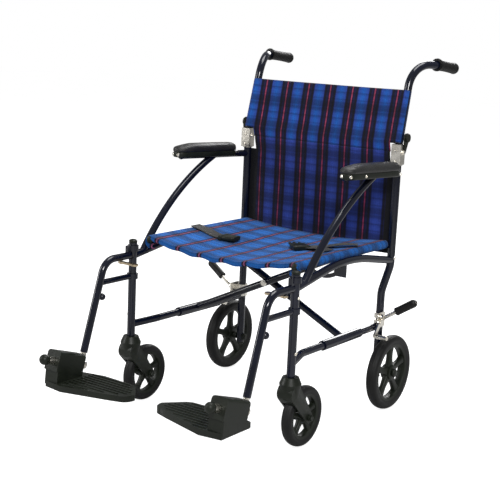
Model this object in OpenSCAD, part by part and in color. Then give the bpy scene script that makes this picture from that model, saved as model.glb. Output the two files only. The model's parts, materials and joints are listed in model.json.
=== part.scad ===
// Transport wheelchair with a folding cross brace, a fold-down back and
// swing-away footrests.  Millimetres, +Z up, front towards -Y.
// X = 0 is the middle of the chair and Z = 0 is the floor.  Heights and places
// inside the modules are counted from the rear axle, and placed() moves the
// whole chair forwards so that its middle stands over the origin.

/* [Overall] */
// Half of the distance between the front posts' centres
half_w = 255; // [215:1:310]
// Distance from the rear axle to the front posts
wheelbase = 456; // [420:1:560]
// Height of the seat rails' centres
seat_h = 446; // [430:1:540]
// Height of the armrest tubes' back ends above the seat rails
arm_rise = 196; // [170:1:250]
// Height of the push handles' centres above the armrest tubes
handle_rise = 283; // [230:1:330]

/* [Tubes] */
// Diameter of the side frames' posts and tubes
frame_d = 21; // [19:0.5:25]
// Diameter of the arch tubes
arch_d = 20; // [18:0.5:24]
// Diameter of the seat rails, lower rails, cross brace and footrest tubes
rail_d = 19; // [17:0.5:21]
// Wall of a sleeve or collar that goes round a tube
sleeve_wall = 3.2; // [2.5:0.1:5]
// Radial clearance of a running fit
run_fit = 0.06; // [0.03:0.01:0.1]
// Gap between neighbouring parts that move past each other
gap = 0.5; // [0.4:0.1:1]

/* [Side frame] */
// How far the lower rails stand inside the front posts
rail_inset = 21; // [19:1:28]
// How far the seat rails stand inside the front posts
seat_inset = 27; // [26:1:34]
// Height of the lower rails' centres
lower_h = 226; // [205:1:245]
// Height of the arch tube where it meets the posts
arch_h = 404; // [385:1:415]
// Rise of the arch tube's peak over its ends
arch_rise = 41; // [30:1:50]
// Length of each lower-rail sleeve
sleeve_len = 176; // [120:1:200]
// Distance from the rear axle to the cross brace's middle
brace_y = 200; // [170:1:230]
// Distance from the rear axle to the armrest tubes' front ends
arm_len = 270; // [240:1:300]
// How much higher the armrest tubes' front ends are than their back ends
arm_lift = 10; // [2:1:16]
// Distance from the rear axle to where the curved supports meet the armrest tubes
arm_hold = 124; // [110:1:150]
// How far a curved support bends on its way up to its armrest tube, in degrees
support_bend = 29; // [22:1:34]

/* [Wheels] */
// Diameter of the rear wheels
rear_d = 203; // [180:1:230]
// Width of the rear tyres
rear_w = 30; // [24:1:34]
// Diameter of the front casters
caster_d = 152; // [127:1:170]
// Width of the caster tyres
caster_w = 27; // [22:1:30]
// Distance that the caster axles trail behind the front posts
trail = 58; // [50:1:64]
// Diameter of the rear axles
axle_d = 12; // [10:0.5:14]
// Diameter of the caster axles
caster_axle_d = 8; // [6:0.5:10]
// Number of spokes in each wheel
spokes = 5; // [4:1:8]

/* [Back] */
// Height of the back's fold hinge above the armrest tubes
hinge_rise = 52; // [46:1:60]
// Backward rake of the upper back, in degrees
back_rake = 13.5; // [8:0.5:18]
// Height of the upper back panel
panel_h = 142; // [120:1:170]
// Length of the push grips
grip_len = 98; // [80:1:140]
// Diameter of the push grips
grip_d = 30; // [28:0.5:34]
// Diameter of the back hinge pins
hinge_pin_d = 8; // [6:0.5:9]

/* [Footrests] */
// Forward rake of the footrest legs from upright, in degrees
leg_rake = 17.4; // [12:0.1:22]
// Reach of the footrest's top tube in front of the post
hanger_reach = 105; // [90:1:130]
// Bore of the footrest legs, in which the extensions slide
leg_bore = 15; // [13:0.1:15.5]
// Height of the footplate pivots
foot_h = 150; // [140:1:175]
// Length of the footplates from their pivots
foot_len = 213; // [170:1:216]
// Diameter of the footplate pivot pins
foot_pin_d = 12; // [10:0.5:14]
// Length of the footplates' hinge housings
housing_len = 92; // [80:1:100]

/* [Soft parts] */
// Thickness of the seat and back fabric
fabric_t = 4; // [3:0.5:5]
// Sag of the seat in the middle
seat_sag = 22; // [12:1:30]
// Height of the arm pads
pad_h = 24; // [20:1:34]
// Width of the arm pads
pad_w = 44; // [40:1:48]
// Length of the arm pads
pad_len = 255; // [240:1:270]
// Distance from the rear axle to the arm pads' back ends
pad_back = 29; // [24:1:34]
// Width of the seat belt's webbing
belt_w = 44; // [38:1:50]

/* [Hidden] */
$fn = 48;
frame_r = frame_d / 2;
rail_r = rail_d / 2;
sleeve_r = rail_r + run_fit + sleeve_wall;
bend_swell = 0.1;
bend_lap = 1;
cap_h = 7;
nut_h = 8;
pad_out = 6.5;
rear_r = rear_d / 2;
caster_r = caster_d / 2;
stem_r = 7;
stem_h = 50;
fork_r = 27;
rear_bead = rear_r - 26;
caster_bead = caster_r - 21;

// Places across the chair, from the middle
lower_x = half_w - rail_inset;
seat_x = half_w - seat_inset;
low_post_x = half_w - 24;
high_post_x = half_w - 10;
arm_x = half_w + 3;
pad_x = arm_x + pad_out;
arm_bend = 34;
wheel_x = low_post_x + frame_r + 13.5 + rear_w / 2;

// Places along the chair, from the rear axle
low_post_y = 1;
high_post_y = 16;
hinge_y = high_post_y;
front_y = -wheelbase;
seat_front = front_y + 39;
seat_back = -5;

// Heights
arm_h = seat_h + arm_rise;
hinge_h = arm_h + hinge_rise;
handle_h = arm_h + handle_rise;
post_foot = caster_r + 113;
post_top = arch_h + 33;
back_post_top = arm_h + 28;
bend_low = lower_h + 92;
bend_high = bend_low + 72;

// Armrests
arm_elbow = [arm_x, high_post_y - arm_bend, arm_h];
arm_front = [arm_x, -arm_len, arm_h + arm_lift];
arm_pitch = atan(arm_lift / (arm_elbow[1] - arm_front[1]));
support_foot = [half_w - 1, front_y + 38, arch_h + 8];
support_top = [arm_x, -arm_hold, arm_h + (arm_elbow[1] + arm_hold) * tan(arm_pitch) - 1.5];
support_slope = atan((support_top[2] - support_foot[2]) / (support_top[1] - support_foot[1]));
support_reach = (support_top[1] - support_foot[1]) / cos(support_slope) / (2 * cos(support_bend / 2));
support_start = support_slope + support_bend / 2;
support_knee = [arm_x, support_foot[1] + support_reach * cos(support_start),
                support_foot[2] + support_reach * sin(support_start)];
support_r = 0.94 * support_reach / tan(support_bend / 2);

// Cross brace
brace_span = lower_x + seat_x;
brace_rise = seat_h - lower_h;
pivot_h = lower_h + lower_x * brace_rise / brace_span;
brace_step = rail_r + gap;
bolt_r = 5;

// Back hinge
cheek_t = 3;
tang_w = 2 * frame_r - 0.2;
cheek_in = tang_w / 2 + gap;
cheek_h = 22;
bracket_low = back_post_top - 10;

cane_foot = [high_post_x, hinge_y, hinge_h + cheek_h];
release_y = hinge_y + 6;
release_h = hinge_h + cheek_h + 16;
release_in = cheek_in + cheek_t + gap;
release_t = 4;
release_head_r = 13;
release_tail = [-1, -36];
release_pin_r = 2.5;
cane_rise = handle_h - cane_foot[2];
cane_knee = [high_post_x - 4, hinge_y + cane_rise * tan(back_rake), handle_h];
grip_foot = [half_w + 18, cane_knee[1] + 76, handle_h - 4];
grip_tip = grip_foot + [0, grip_len, -grip_len / 10];
grip_dir = (grip_tip - grip_foot) / norm(grip_tip - grip_foot);
grip_end = 4;

// Footrest
leg_dir = [0, -sin(leg_rake), -cos(leg_rake)];
hanger_h = arch_h + 2;
knee = [half_w, front_y - hanger_reach, hanger_h];
leg_len = (hanger_h - foot_h) / cos(leg_rake);
foot_pivot = knee + leg_dir * leg_len;
leg_end = 31;
link_h = arch_h - 54;
collar_h = 14;
collar_r = frame_r + run_fit + 4;
arch_slope = 2 * arch_rise / (wheelbase + high_post_y);
top_collar_h = arch_h + arch_d / 2 + arch_slope * collar_r + 3 * gap;
knuckle_r = 11;
shoe_d = 15;
bumper_at = 98;
slide_depth = 150;
latch_len = 46;
latch_t = 5;
latch_pin_r = 3;
latch_y = front_y - frame_r - 33.5;
latch_h = hanger_h - rail_r - 7;
housing_start = rail_r + 1.5;
housing_w = 44;
housing_up = 27;
housing_down = 24;
deck_drop = 22;
deck_t = 15;
deck_round = 26;
ball_r = 12.5;
ball_reach = housing_start + housing_len + 28;

// Middle of the chair's whole length, behind which the rear axle stands
chair_front = foot_pivot[1] - ball_reach * cos(leg_rake) - ball_r;
chair_back = grip_tip[1] + grip_dir[1] * grip_end + grip_d / 2;
axle_back = -(chair_front + chair_back) / 2;

// Brake
brake_x = low_post_x + 13.5;
lever_y = -22;
lever_h = rear_d + 51;
shoe_y = -25;
shoe_h = rear_d + 37;
brake_plate_t = 3;
clamp_h = 14;
clamp_wall = 4;
lever_x = brake_x + brake_plate_t + gap;
shoe_arm = [-25, -32];
shoe_bar_r = 5;
lever_reach = [92, 10, 60];
lever_rod_d = 10;
lever_grip_r = 10.5;
brake_disc_r = 8.5;
brake_pin_r = 4;

// Stay link
link_x = seat_x - 2;
link_pin_h = arch_h - 2;
link_span = 84;
link_r = 70;
link_t = 3;
link_half = 5.5;
link_eye_r = 8;
link_pin_r = 3;
link_y = -brace_y - brace_step - rail_r - 2 * gap;

// Seat
sling_half = seat_x - rail_r - gap;
belt_t = 3;
buckle_len = 40;
buckle_t = 12;
sling_r = (pow(sling_half, 2) + pow(seat_sag, 2)) / (2 * seat_sag);
brace_angle = atan(brace_rise / brace_span);
brace_top = rail_r / cos(brace_angle) - (rail_r + gap) * tan(brace_angle);
sling_top = seat_h + brace_top + 2 * gap + fabric_t;

paint = "midnightblue";
zinc = "silver";
black = "dimgray";

// ---- Helpers -------------------------------------------------------------

function unit(v) = v / norm(v);
function turn(a, b, c) = acos(unit(b - a) * unit(c - b));
function setback(a, b, c, r) = r * tan(turn(a, b, c) / 2);
function across(v) = abs(v[0]) < 0.9 * norm(v) ? [1, 0, 0] : [0, 1, 0];

// Stands its children at p with their Z along z and their X near x
module aim(p, z, x) {
    w = unit(z);
    u = unit(x - w * (x * w));
    v = cross(w, u);
    multmatrix([
        [u[0], v[0], w[0], p[0]],
        [u[1], v[1], w[1], p[1]],
        [u[2], v[2], w[2], p[2]],
        [0, 0, 0, 1]
    ]) children();
}

// A round bar from a to b
module rod(a, b, d) {
    aim(a, b - a, across(b - a)) cylinder(d = d, h = norm(b - a));
}

// A tube bent round the corners p[1], p[2] ..., each with its own radius.  A
// bend is bend_swell thicker than the straights and laps bend_lap over them.
module bent_tube(p, r, d) {
    last = len(p) - 1;
    for (i = [0:last - 1]) {
        u = unit(p[i + 1] - p[i]);
        from = i == 0 ? 0 : setback(p[i - 1], p[i], p[i + 1], r[i]);
        to = i == last - 1 ? 0 : setback(p[i], p[i + 1], p[i + 2], r[i + 1]);
        rod(p[i] + u * from, p[i + 1] - u * to, d);
    }
    for (i = [1:last - 1]) {
        a = unit(p[i] - p[i - 1]);
        b = unit(p[i + 1] - p[i]);
        inward = unit(b - a * (a * b));
        start = p[i] - a * setback(p[i - 1], p[i], p[i + 1], r[i]);
        lap = bend_lap / r[i] * 180 / PI;
        aim(start + inward * r[i], cross(a, inward), -inward)
            rotate([0, 0, -lap])
                rotate_extrude(angle = turn(p[i - 1], p[i], p[i + 1]) + 2 * lap)
                    translate([r[i], 0]) circle(d = d + 2 * bend_swell);
    }
}

// A bar along X from x0 to x1
module x_bar(x0, x1, y, z, r) {
    translate([x0, y, z]) rotate([0, 90, 0]) cylinder(r = r, h = x1 - x0);
}

// A bar along Y from y0 to y1
module y_bar(x, y0, y1, z, r) {
    translate([x, y1, z]) rotate([90, 0, 0]) cylinder(r = r, h = y1 - y0);
}

// A box given by its corners
module block(lo, hi) {
    translate(lo) cube(hi - lo);
}

module placed() {
    translate([0, axle_back, 0]) children();
}

module mirrored() {
    placed() mirror([1, 0, 0]) children();
}

// ---- Side frame ----------------------------------------------------------

module post_line(d) {
    bent_tube(
        [[low_post_x, low_post_y, rear_r - 18], [low_post_x, low_post_y, bend_low],
         [high_post_x, high_post_y, bend_high], [high_post_x, high_post_y, back_post_top]],
        [0, 80, 80, 0], d);
}

module front_post() {
    color(paint) difference() {
        union() {
            translate([half_w, front_y, post_foot]) cylinder(r = frame_r, h = post_top - post_foot);
            translate([half_w, front_y, post_top]) cylinder(r1 = frame_r + 1, r2 = frame_r - 3, h = 5);
        }
        translate([half_w, front_y, post_foot - 1]) cylinder(r = stem_r + run_fit, h = stem_h + 1);
    }
}

module rear_post() {
    color(paint) difference() {
        post_line(frame_d);
        x_bar(low_post_x - 20, low_post_x + 20, 0, rear_r, axle_d / 2);
    }
}

module arch_line() {
    mid_y = (front_y + high_post_y) / 2;
    bent_tube(
        [[high_post_x, high_post_y, arch_h], [half_w - 6, mid_y, arch_h + arch_rise],
         [half_w, front_y, arch_h]],
        [0, 640, 0], arch_d);
}

module arch_tube() {
    color(paint) difference() {
        union() {
            arch_line();
            // Plate that the stay link turns on
            block([link_x - 8, link_y - link_t - 4, link_pin_h - 8],
                  [half_w - 2, link_y - link_t, arch_h + 24]);
            y_bar(link_x, link_y - link_t - 4, link_y + 4, link_pin_h, link_pin_r);
        }
        translate([half_w, front_y, 0]) cylinder(r = frame_r, h = arch_h + 100);
        rod([high_post_x, high_post_y, bend_high], [high_post_x, high_post_y, arm_h],
            frame_d + 4 * bend_swell);
    }
}

module lower_line() {
    bent_tube(
        [[lower_x, low_post_y, lower_h], [lower_x, front_y + 74, lower_h],
         [half_w, front_y, lower_h - 6]],
        [0, 70, 0], rail_d);
}

module lower_rail() {
    color(paint) difference() {
        lower_line();
        translate([half_w, front_y, post_foot]) cylinder(r = frame_r, h = 200);
        translate([low_post_x, low_post_y, lower_h - 60]) cylinder(r = frame_r, h = 120);
    }
}

module arm_tube() {
    color(paint) difference() {
        union() {
            bent_tube([[high_post_x, high_post_y, arm_h], arm_elbow, arm_front], [0, 30, 0], rail_d);
            aim(arm_front + unit(arm_elbow - arm_front), arm_front - arm_elbow, [1, 0, 0])
                cylinder(r1 = rail_r + 1, r2 = rail_r - 3, h = cap_h);
            bent_tube([support_foot, support_knee, support_top], [0, support_r, 0], rail_d);
        }
        rod([high_post_x, high_post_y, bend_high], [high_post_x, high_post_y, back_post_top + 9],
            frame_d);
        arch_line();
    }
}

module arm_pad() {
    round_r = pad_w / 2;
    color(black) translate([pad_x, arm_elbow[1], arm_h]) rotate([-arm_pitch, 0, 0])
        translate([0, -pad_back - arm_elbow[1], rail_r]) linear_extrude(pad_h) {
            translate([0, -round_r]) circle(r = round_r);
            translate([-round_r, round_r - pad_len]) square([pad_w, pad_len - pad_w]);
            translate([0, round_r - pad_len]) circle(r = round_r);
        }
}

// ---- Back ----------------------------------------------------------------

module hinge_bracket() {
    wide = cheek_in + cheek_t;
    color(zinc) difference() {
        union() {
            translate([high_post_x, high_post_y, bracket_low])
                cylinder(r = frame_r + cheek_t, h = 9);
            for (s = [-1, 1])
                block([high_post_x + s * (cheek_in + cheek_t / 2) - cheek_t / 2, hinge_y - 13,
                       bracket_low + 2],
                      [high_post_x + s * (cheek_in + cheek_t / 2) + cheek_t / 2, hinge_y + 11,
                       hinge_h + cheek_h - 1]);
            block([high_post_x - wide, hinge_y - frame_r - cheek_t, bracket_low + 2],
                  [high_post_x + wide, hinge_y - frame_r - 0.3, hinge_h + cheek_h - 1]);
            x_bar(high_post_x - wide - 3, high_post_x + wide + gap / 2, hinge_y, hinge_h,
                  hinge_pin_d / 2);
        }
        post_line(frame_d);
    }
}

module cane_line() {
    bent_tube([cane_foot, cane_knee, grip_foot, grip_tip], [0, 75, 60, 0], frame_d);
}

module back_cane() {
    color(paint) {
        difference() {
            union() {
                x_bar(high_post_x - tang_w / 2, high_post_x + tang_w / 2, hinge_y, hinge_h,
                      frame_r - 0.7);
                block([high_post_x - tang_w / 2, hinge_y - frame_r + 0.7, hinge_h],
                      [high_post_x + tang_w / 2, hinge_y + frame_r - 0.7, hinge_h + cheek_h]);
            }
            x_bar(high_post_x - 20, high_post_x + 20, hinge_y, hinge_h,
                  hinge_pin_d / 2 + run_fit);
        }
        cane_line();
        x_bar(high_post_x, high_post_x + release_in + release_t - 0.5, release_y, release_h,
              release_pin_r);
    }
}

module push_grip() {
    start = grip_tip - grip_dir * (grip_len - 5);
    end = grip_tip + grip_dir * grip_end;
    color(black) difference() {
        union() {
            rod(start - grip_dir * 1, end, grip_d);
            rod(start - grip_dir * 5, start, grip_d + 4);
            aim(end, grip_dir, [1, 0, 0]) sphere(d = grip_d);
        }
        cane_line();
    }
}

module release_lever() {
    color(black) translate([high_post_x + release_in, release_y, release_h]) difference() {
        union() {
            rotate([90, 0, 90]) linear_extrude(release_t) {
                circle(r = 7);
                translate([4, 0]) circle(r = release_head_r);
                translate(release_tail) circle(r = 3);
                polygon([[4 - release_head_r, 0], [4 + release_head_r, 0],
                         release_tail + [3, 0], release_tail - [3, 0]]);
            }
            x_bar(release_t - 1, release_t + 4, 5, 0, release_head_r - 2);
        }
        x_bar(-1, release_t, 0, 0, release_pin_r + run_fit);
    }
}

// ---- Wheels --------------------------------------------------------------

module tyre(outer, bead, w) {
    crown = w / 2 - 2;
    rotate([0, 90, 0]) rotate_extrude($fn = 96) {
        translate([outer - crown, 0]) intersection() {
            circle(r = crown);
            translate([0, -crown]) square([crown, 2 * crown]);
        }
        translate([bead, -w / 2]) square([outer - crown - bead, w]);
    }
}

// A spoked wheel with its axis along X and its bore open from end to end
module hub(bead, rim_t, rim_w, hub_r, hub_w, bore) {
    difference() {
        union() {
            rotate([0, 90, 0]) rotate_extrude($fn = 96)
                translate([bead - rim_t, -rim_w / 2]) square([rim_t, rim_w]);
            rotate([0, 90, 0]) cylinder(r = hub_r, h = hub_w, center = true);
            for (i = [0:spokes - 1])
                rotate([i * 360 / spokes, 0, 0])
                    translate([-rim_w / 4, -hub_r / 3, hub_r * 0.6])
                        cube([rim_w / 2, hub_r * 2 / 3, bead - rim_t / 2 - hub_r * 0.6]);
        }
        rotate([0, 90, 0]) cylinder(r = bore / 2 + run_fit, h = hub_w + 2, center = true);
    }
}

module rear_tyre() {
    color(black) translate([wheel_x, 0, rear_r]) tyre(rear_r, rear_bead, rear_w);
}

module rear_hub() {
    color(black) translate([wheel_x, 0, rear_r])
        hub(rear_bead, 6, rear_w - 6, 19, rear_w - 2, axle_d);
}

module rear_axle() {
    inner = low_post_x - frame_r - nut_h - 2;
    outer = wheel_x + rear_w / 2 + 1;
    color(zinc) {
        x_bar(inner, outer, 0, rear_r, axle_d / 2);
        x_bar(outer, outer + 4, 0, rear_r, axle_d / 2 + 4);
        x_bar(low_post_x + frame_r, wheel_x - rear_w / 2, 0, rear_r, axle_d / 2 + 3);
        translate([low_post_x - frame_r - nut_h, 0, rear_r]) rotate([0, 90, 0])
            cylinder(r = axle_d / 2 + 5, h = nut_h, $fn = 6);
    }
}

module caster_tyre() {
    color(black) translate([half_w, front_y + trail, caster_r])
        tyre(caster_r, caster_bead, caster_w);
}

module caster_hub() {
    color(black) translate([half_w, front_y + trail, caster_r])
        hub(caster_bead, 5, caster_w - 6, 14, caster_w - 2, caster_axle_d);
}

module caster_axle() {
    half = caster_w / 2 + 8;
    y = front_y + trail;
    color(zinc) {
        x_bar(half_w - half, half_w + half, y, caster_r, caster_axle_d / 2);
        for (s = [-1, 1])
            translate([half_w + s * (half + 2.5), y, caster_r]) rotate([0, 90, 0])
                cylinder(r = caster_axle_d / 2 + 3, h = 5, center = true);
    }
}

module caster_fork() {
    slot = caster_w / 2 + 2;
    half = slot + 6;
    y = front_y + trail;
    top = post_foot - gap;
    color(black) difference() {
        union() {
            translate([half_w, front_y, caster_r + 58])
                cylinder(r1 = 21, r2 = fork_r, h = 38);
            translate([half_w, front_y, caster_r + 96])
                cylinder(r1 = fork_r, r2 = 20, h = top - caster_r - 96);
            translate([half_w, front_y, top - 2]) cylinder(r = stem_r, h = stem_h - 2);
            hull() {
                x_bar(half_w - half, half_w + half, front_y - 2, caster_r + 72, 22);
                x_bar(half_w - half, half_w + half, y, caster_r, 14);
            }
        }
        x_bar(half_w - slot, half_w + slot, y, caster_r, caster_r + 4);
        x_bar(half_w - half - 1, half_w + half + 1, y, caster_r, caster_axle_d / 2);
    }
}

// ---- Footrests -----------------------------------------------------------

// Stands its children at the footplate pivot, with -Y along the pivot pin
module at_foot() {
    translate(foot_pivot) rotate([-leg_rake, 0, 0]) children();
}

module hanger() {
    shoe = front_y - frame_r - 1.5;
    stop = foot_pivot - leg_dir * leg_end;
    bumper = knee + leg_dir * bumper_at;
    color(paint) difference() {
        union() {
            bent_tube([[half_w, shoe - 2, hanger_h], knee, stop], [0, 45, 0], rail_d);
            block([half_w - 5, shoe - 12, hanger_h - 4], [half_w + 5, shoe, top_collar_h + collar_h]);
            translate([half_w, front_y, top_collar_h]) cylinder(r = collar_r, h = collar_h);
            translate([half_w, front_y, link_h - collar_h / 2]) cylinder(r = collar_r, h = collar_h);
            rod([half_w, front_y - 12, link_h],
                knee + leg_dir * ((hanger_h - link_h) / cos(leg_rake)), shoe_d);
            rod(bumper, bumper + [0, 19, 0], 8);
            translate(bumper + [0, 21, 0]) sphere(r = 9);
            translate([half_w, latch_y, latch_h - 2]) cylinder(r = latch_pin_r, h = 12);
        }
        translate([half_w, front_y, link_h - 50])
            cylinder(r = frame_r + run_fit, h = top_collar_h - link_h + 90);
        rod(foot_pivot, foot_pivot - leg_dir * (leg_end + slide_depth), leg_bore);
    }
}

module latch_lever() {
    color("tan") translate([half_w, latch_y, latch_h]) difference() {
        union() {
            cylinder(r = 8, h = latch_t);
            translate([-latch_len, -6, 0]) cube([latch_len, 12, latch_t]);
            translate([-latch_len, 0, 0]) cylinder(r = 9, h = latch_t);
        }
        translate([0, 0, -1]) cylinder(r = latch_pin_r + run_fit, h = latch_t + 2);
    }
}

module extension() {
    slide_r = leg_bore / 2 - run_fit;
    front = -housing_start - housing_len;
    color(zinc) at_foot() {
        cylinder(r = slide_r, h = leg_end + slide_depth - 20);
        y_bar(0, -housing_start + gap, knuckle_r, 0, knuckle_r);
        y_bar(0, front - 22, 0, 0, foot_pin_d / 2);
        y_bar(0, front - 18, front - gap, 0, foot_pin_d / 2 + 4);
        translate([0, -ball_reach, 0]) sphere(r = ball_r);
    }
}

module footplate_housing() {
    back = -housing_start;
    round_r = 9;
    at_foot() translate([0, back, 0]) rotate([90, 0, 0]) linear_extrude(housing_len) {
        translate([-housing_w / 2 + round_r, -housing_down])
            square([housing_w - 2 * round_r, housing_up + housing_down]);
        translate([-housing_w / 2, -housing_down])
            square([housing_w, housing_up + housing_down - round_r]);
        for (x = [-1, 1])
            translate([x * (housing_w / 2 - round_r), housing_up - round_r]) circle(r = round_r);
    }
}

module footplate_web() {
    front = -(housing_start + housing_len) * cos(leg_rake);
    slope = tan(leg_rake);
    low = -deck_drop - deck_t / 2;
    translate(foot_pivot + [-housing_w / 2 + 1, 0, 0]) rotate([90, 0, 90]) linear_extrude(housing_w - 2)
        polygon([[front - 6, low], [-16, low], [-16, 0], [front, -front * slope]]);
}

module footplate_deck() {
    outer = housing_w / 2 - 4;
    inner = -foot_len + deck_round;
    translate(foot_pivot - [0, 0, deck_drop + deck_t]) linear_extrude(deck_t) {
        polygon([[outer, 4], [outer, -104], [-40, -112], [inner + 24, -78], [inner, -70],
                 [-foot_len, -44], [-foot_len, -34], [inner + 12, 10], [inner + 26, 18], [-60, 22]]);
        translate([inner + 1, -43]) circle(r = deck_round);
    }
}

module footplate() {
    pin_front = -housing_start - housing_len - 1;
    color(black) difference() {
        union() {
            footplate_housing();
            footplate_web();
            footplate_deck();
        }
        at_foot() y_bar(0, pin_front, -housing_start + 1, 0, foot_pin_d / 2 + run_fit);
    }
}

// ---- Brakes --------------------------------------------------------------

module brake_bracket() {
    color(zinc) difference() {
        union() {
            for (z = [shoe_h - clamp_h, lever_h - 8]) {
                translate([low_post_x, low_post_y, z]) cylinder(r = frame_r + clamp_wall, h = clamp_h);
                block([low_post_x + clamp_wall, lever_y + 4, z],
                      [brake_x + 1, low_post_y - clamp_wall, z + clamp_h]);
            }
            block([brake_x, lever_y - 16, shoe_h - clamp_h],
                  [brake_x + brake_plate_t, low_post_y, lever_h + 12]);
            x_bar(brake_x, lever_x + 4.5, lever_y, lever_h, brake_pin_r);
            x_bar(brake_x, lever_x + 5.5, shoe_y - 4, shoe_h, brake_pin_r);
        }
        post_line(frame_d);
        lower_line();
    }
}

module brake_lever() {
    elbow = [lever_x + 5, lever_y, lever_h - 3];
    tip = elbow + lever_reach;
    grip_start = elbow + 0.42 * lever_reach;
    grip = norm(tip - grip_start);
    grip_r = lever_grip_r;
    color(zinc) difference() {
        union() {
            x_bar(lever_x, lever_x + 4, lever_y, lever_h, brake_disc_r);
            x_bar(lever_x + 3, lever_x + 10, lever_y, lever_h, brake_disc_r - 1);
            rod(elbow, tip, lever_rod_d);
        }
        x_bar(lever_x - 1, lever_x + 5, lever_y, lever_h, brake_pin_r + run_fit);
    }
    color(black) aim(grip_start, tip - elbow, [0, 1, 0]) rotate_extrude() {
        square([grip_r, grip - grip_r]);
        square([1, grip]);
        translate([0, grip - grip_r]) intersection() {
            circle(r = grip_r);
            square(grip_r);
        }
    }
}

module brake_shoe() {
    y = shoe_y - 4;
    color(zinc) {
        difference() {
            union() {
                x_bar(lever_x, lever_x + 4, y, shoe_h, 6.5);
                aim([lever_x + 2, y, shoe_h], [0, shoe_arm[0], shoe_arm[1]], [1, 0, 0])
                    translate([-2, -6, 0]) cube([4, 12, norm(shoe_arm)]);
            }
            x_bar(lever_x - 1, lever_x + 7, y, shoe_h, brake_pin_r + run_fit);
        }
        x_bar(lever_x, wheel_x + rear_w / 2 + 2, y + shoe_arm[0], shoe_h + shoe_arm[1], shoe_bar_r);
    }
}

// ---- Cross brace and seat --------------------------------------------------

// One member, from the lower rail on side s up to the seat rail on the other side
module cross_member(s) {
    y = -brace_y + s * brace_step;
    foot = [s * lower_x, y, lower_h];
    top = [-s * seat_x, y, seat_h];
    color(paint) difference() {
        union() {
            rod(foot, top, rail_d);
            y_bar(s * lower_x, -brace_y - sleeve_len / 2, -brace_y + sleeve_len / 2, lower_h,
                  sleeve_r);
        }
        y_bar(s * lower_x, -brace_y - sleeve_len, -brace_y + sleeve_len, lower_h,
              rail_r + run_fit);
        y_bar(-s * seat_x, -brace_y - 60, -brace_y + 60, seat_h, rail_r);
        y_bar(0, -brace_y - 60, -brace_y + 60, pivot_h, s > 0 ? bolt_r : bolt_r + run_fit);
    }
}

module seat_rail(s) {
    color(paint) {
        y_bar(s * seat_x, seat_front, seat_back, seat_h, rail_r);
        translate([s * seat_x, seat_front, seat_h]) rotate([90, 0, 0])
            cylinder(r1 = rail_r + 1, r2 = rail_r - 2, h = 5);
    }
}

module cross_bolt() {
    out = brace_step + rail_r;
    color(zinc) {
        y_bar(0, -brace_y - out - 7, -brace_y + out + 4, pivot_h, bolt_r);
        y_bar(0, -brace_y + out + gap, -brace_y + out + 6, pivot_h, bolt_r + 4);
        translate([0, -brace_y - out - gap, pivot_h]) rotate([90, 0, 0])
            cylinder(r = bolt_r + 4, h = 5, $fn = 6);
    }
}

module stay_link() {
    rise = sqrt(pow(link_r, 2) - pow(link_span / 2, 2));
    color(paint) translate([link_x, link_y, link_pin_h]) rotate([90, 0, 0]) difference() {
        linear_extrude(link_t) {
            intersection() {
                translate([-link_span / 2, rise]) difference() {
                    circle(r = link_r + link_half);
                    circle(r = link_r - link_half);
                }
                translate([-link_span, -30]) square([link_span, 30]);
            }
            circle(r = link_eye_r);
            translate([-link_span, 0]) circle(r = link_eye_r);
        }
        translate([0, 0, -1]) cylinder(r = link_pin_r + run_fit, h = link_t + 2);
    }
}

// A curved sheet that sags between the seat rails, lift above the sling
module sagging_sheet(x0, x1, y0, y1, lift, t) {
    intersection() {
        translate([0, y1, sling_top - seat_sag + sling_r]) rotate([90, 0, 0])
            linear_extrude(y1 - y0) difference() {
                circle(r = sling_r - lift, $fn = 180);
                circle(r = sling_r - lift - t, $fn = 180);
            }
        block([x0, y0 - 1, sling_top - 60], [x1, y1 + 1, sling_top + 30]);
    }
}

module seat_sling() {
    color("royalblue")
        sagging_sheet(-sling_half, sling_half, seat_front, seat_back + 12, -fabric_t, fabric_t);
}

// Half of the seat belt: webbing on the seat and a buckle half at its end
module belt(s, reach, y0) {
    inner = s > 0 ? reach : -sling_half + 4;
    outer = s > 0 ? sling_half - 4 : -reach;
    buckle = s > 0 ? reach : -reach - buckle_len;
    color(black) {
        sagging_sheet(inner, outer, y0, y0 + belt_w, gap, belt_t);
        sagging_sheet(buckle, buckle + buckle_len, y0 - 2, y0 + belt_w + 2, gap, buckle_t);
    }
}

module back_upper_panel() {
    half = high_post_x - 4 - frame_r - gap;
    color("royalblue") translate([0, hinge_y, hinge_h + cheek_h]) rotate([-back_rake, 0, 0])
        block([-half, -fabric_t / 2, 2], [half, fabric_t / 2, panel_h]);
}

module back_lower_panel() {
    y = high_post_y + frame_r + gap;
    color("royalblue")
        block([-high_post_x - 4, y, seat_h - 26], [high_post_x + 4, y + fabric_t, back_post_top - 18]);
}

// ---- Nodes -----------------------------------------------------------------

placed() front_post();  // left_front_post
placed() rear_post();  // left_rear_post
placed() arch_tube();  // left_arch_tube
placed() lower_rail();  // left_lower_rail
placed() arm_tube();  // left_arm_tube
placed() arm_pad();  // left_arm_pad
placed() brake_bracket();  // left_brake_bracket
placed() brake_lever();  // left_brake_lever
placed() brake_shoe();  // left_brake_shoe
placed() rear_axle();  // left_rear_axle
placed() hinge_bracket();  // left_hinge_bracket
placed() back_cane();  // left_back_cane
placed() push_grip();  // left_push_grip
placed() release_lever();  // left_release_lever
placed() rear_hub();  // left_rear_hub
placed() rear_tyre();  // left_rear_tyre
placed() caster_fork();  // left_caster_fork
placed() caster_hub();  // left_caster_hub
placed() caster_tyre();  // left_caster_tyre
placed() caster_axle();  // left_caster_axle
placed() hanger();  // left_hanger
placed() latch_lever();  // left_latch_lever
placed() extension();  // left_extension
placed() footplate();  // left_footplate
placed() stay_link();  // left_stay_link
mirrored() front_post();  // right_front_post
mirrored() rear_post();  // right_rear_post
mirrored() arch_tube();  // right_arch_tube
mirrored() lower_rail();  // right_lower_rail
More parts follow.
